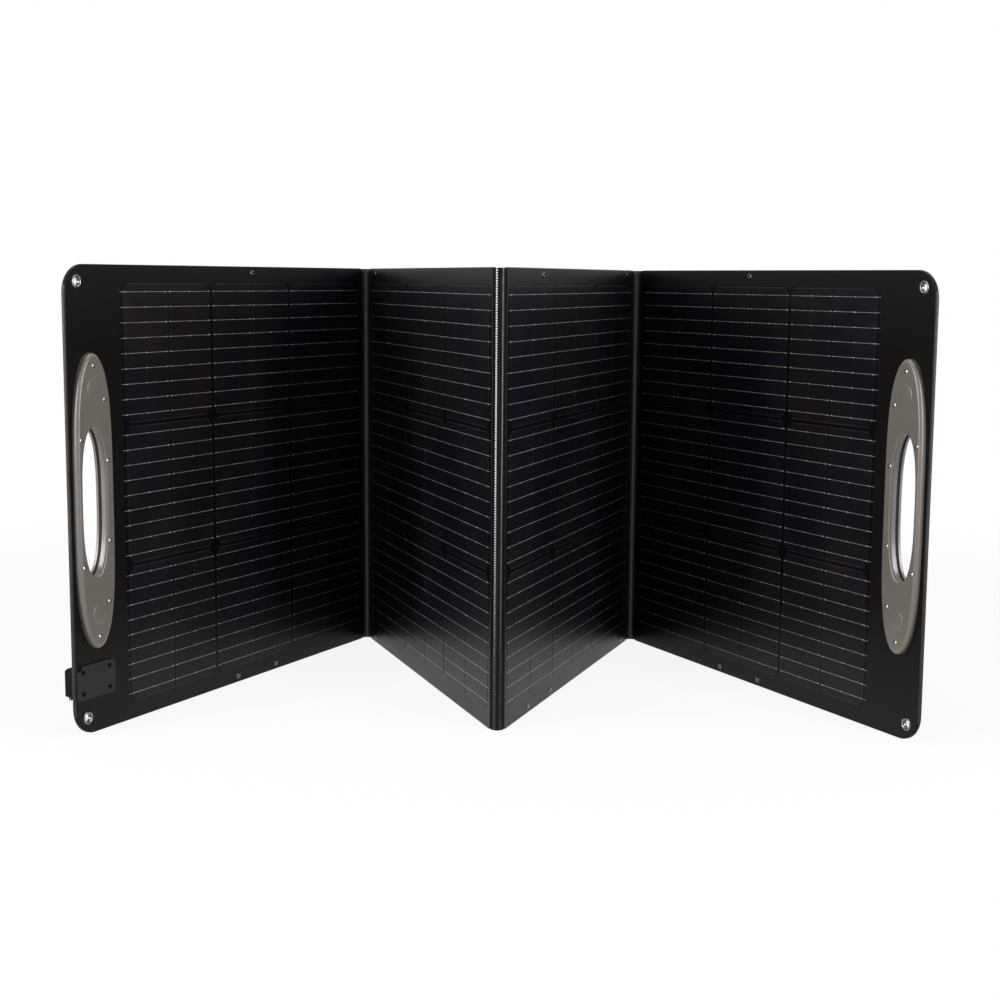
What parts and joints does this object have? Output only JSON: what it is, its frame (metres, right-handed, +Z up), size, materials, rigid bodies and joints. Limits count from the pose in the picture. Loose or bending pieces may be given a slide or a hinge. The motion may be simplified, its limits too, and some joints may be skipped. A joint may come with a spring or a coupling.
{
  "type": "folding solar panel",
  "caption": "Accordion-folding portable solar panel standing in a zigzag, with half-cut cells, oval carry handles, corner eyelets, fold-out rear legs and a small junction box.",
  "frame": {"origin": "middle of the bounding box on the floor, in the standing pose of the picture", "axes": "+X across the front from the junction box side to the other handle, +Y to the rear, +Z up"},
  "size_m": [0.9848, 0.5458, 0.54],
  "materials": {
    "front_sheet": "near black film with a fine pressed grid",
    "cell": "dark navy cells under a clear film",
    "ribbon": "thin tinned ribbons",
    "board": "stiff glass-fibre board",
    "back_fabric": "black coated woven fabric",
    "fold_strip": "dark coated fabric strip",
    "handle": "satin warm grey moulded plastic",
    "nickel": "bright nickel plating",
    "steel": "plain steel",
    "magnet": "plated magnet",
    "box_plastic": "dark grey moulded plastic",
    "dark_screw": "blackened screws",
    "rubber": "black rubber",
    "circuit": "green circuit board",
    "webbing": "black woven webbing",
    "leg": "black covered board"
  },
  "bodies": {
    "left_inner_panel": {"left_inner_front_sheet": "front_sheet", "left_inner_cells": "cell", "left_inner_ribbons": "ribbon", "left_inner_board": "board", "left_inner_back_fabric": "back_fabric", "left_inner_rivets": "nickel", "left_fold_strip": "fold_strip", "middle_fold_strip": "fold_strip"},
    "left_outer_panel": {"left_outer_front_sheet": "front_sheet", "left_outer_cells": "cell", "left_outer_ribbons": "ribbon", "left_outer_board": "board", "left_outer_back_fabric": "back_fabric", "left_outer_rivets": "nickel", "left_handle_front": "handle", "left_handle_rear": "handle", "left_handle_magnets": "magnet", "left_handle_screws": "steel", "left_eyelets": "nickel", "left_leg_loop": "webbing", "junction_plate": "box_plastic", "junction_housing": "box_plastic", "junction_gasket": "rubber", "junction_circuit_board": "circuit", "junction_screws": "dark_screw", "output_socket": "box_plastic", "socket_cover_pin": "steel"},
    "right_inner_panel": {"right_inner_front_sheet": "front_sheet", "right_inner_cells": "cell", "right_inner_ribbons": "ribbon", "right_inner_board": "board", "right_inner_back_fabric": "back_fabric", "right_inner_rivets": "nickel", "right_fold_strip": "fold_strip", "middle_leg_loop": "webbing"},
    "right_outer_panel": {"right_outer_front_sheet": "front_sheet", "right_outer_cells": "cell", "right_outer_ribbons": "ribbon", "right_outer_board": "board", "right_outer_back_fabric": "back_fabric", "right_outer_rivets": "nickel", "right_handle_front": "handle", "right_handle_rear": "handle", "right_handle_magnets": "magnet", "right_handle_screws": "steel", "right_eyelets": "nickel", "right_leg_loop": "webbing"},
    "left_leg": {"left_leg_rod": "steel", "left_leg_board": "leg", "left_leg_foot": "rubber"},
    "middle_leg": {"middle_leg_rod": "steel", "middle_leg_board": "leg", "middle_leg_foot": "rubber"},
    "right_leg": {"right_leg_rod": "steel", "right_leg_board": "leg", "right_leg_foot": "rubber"},
    "cover": {"socket_cover": "rubber"}
  },
  "joints": [
    {"name": "fold_left", "type": "hinge", "parent": "left_inner_panel", "child": "left_outer_panel", "pos_m": [-0.18782, 0.27555, 0.27], "axis": [0, 0, -1], "range_deg": [-47.9, 132.1], "deforming": ["left_fold_strip"]},
    {"name": "fold_middle", "type": "hinge", "parent": "left_inner_panel", "child": "right_inner_panel", "pos_m": [0.00556, -0.22656, 0.27], "axis": [0, 0, -1], "range_deg": [-40.4, 139.6], "deforming": ["middle_fold_strip"]},
    {"name": "fold_right", "type": "hinge", "parent": "right_inner_panel", "child": "right_outer_panel", "pos_m": [0.19893, 0.27555, 0.27], "axis": [0, 0, 1], "range_deg": [-47.9, 132.1], "deforming": ["right_fold_strip"]},
    {"name": "left_leg_swing", "type": "hinge", "parent": "left_outer_panel", "child": "left_leg", "pos_m": [-0.32134, 0.03844, 0.5135], "axis": [0.4648, 0.8854, 0], "range_deg": [0, 50]},
    {"name": "middle_leg_swing", "type": "hinge", "parent": "right_inner_panel", "child": "middle_leg", "pos_m": [0.05123, -0.10272, 0.5135], "axis": [0.3453, 0.9385, 0], "range_deg": [0, 7]},
    {"name": "right_leg_swing", "type": "hinge", "parent": "right_outer_panel", "child": "right_leg", "pos_m": [0.33245, 0.03844, 0.5135], "axis": [0.4648, -0.8854, 0], "range_deg": [0, 50]},
    {"name": "socket_cover_swing", "type": "hinge", "parent": "left_outer_panel", "child": "cover", "pos_m": [-0.47713, -0.23442, 0.0418], "axis": [0.4648, 0.8854, 0], "range_deg": [0, 95]}
  ]
}
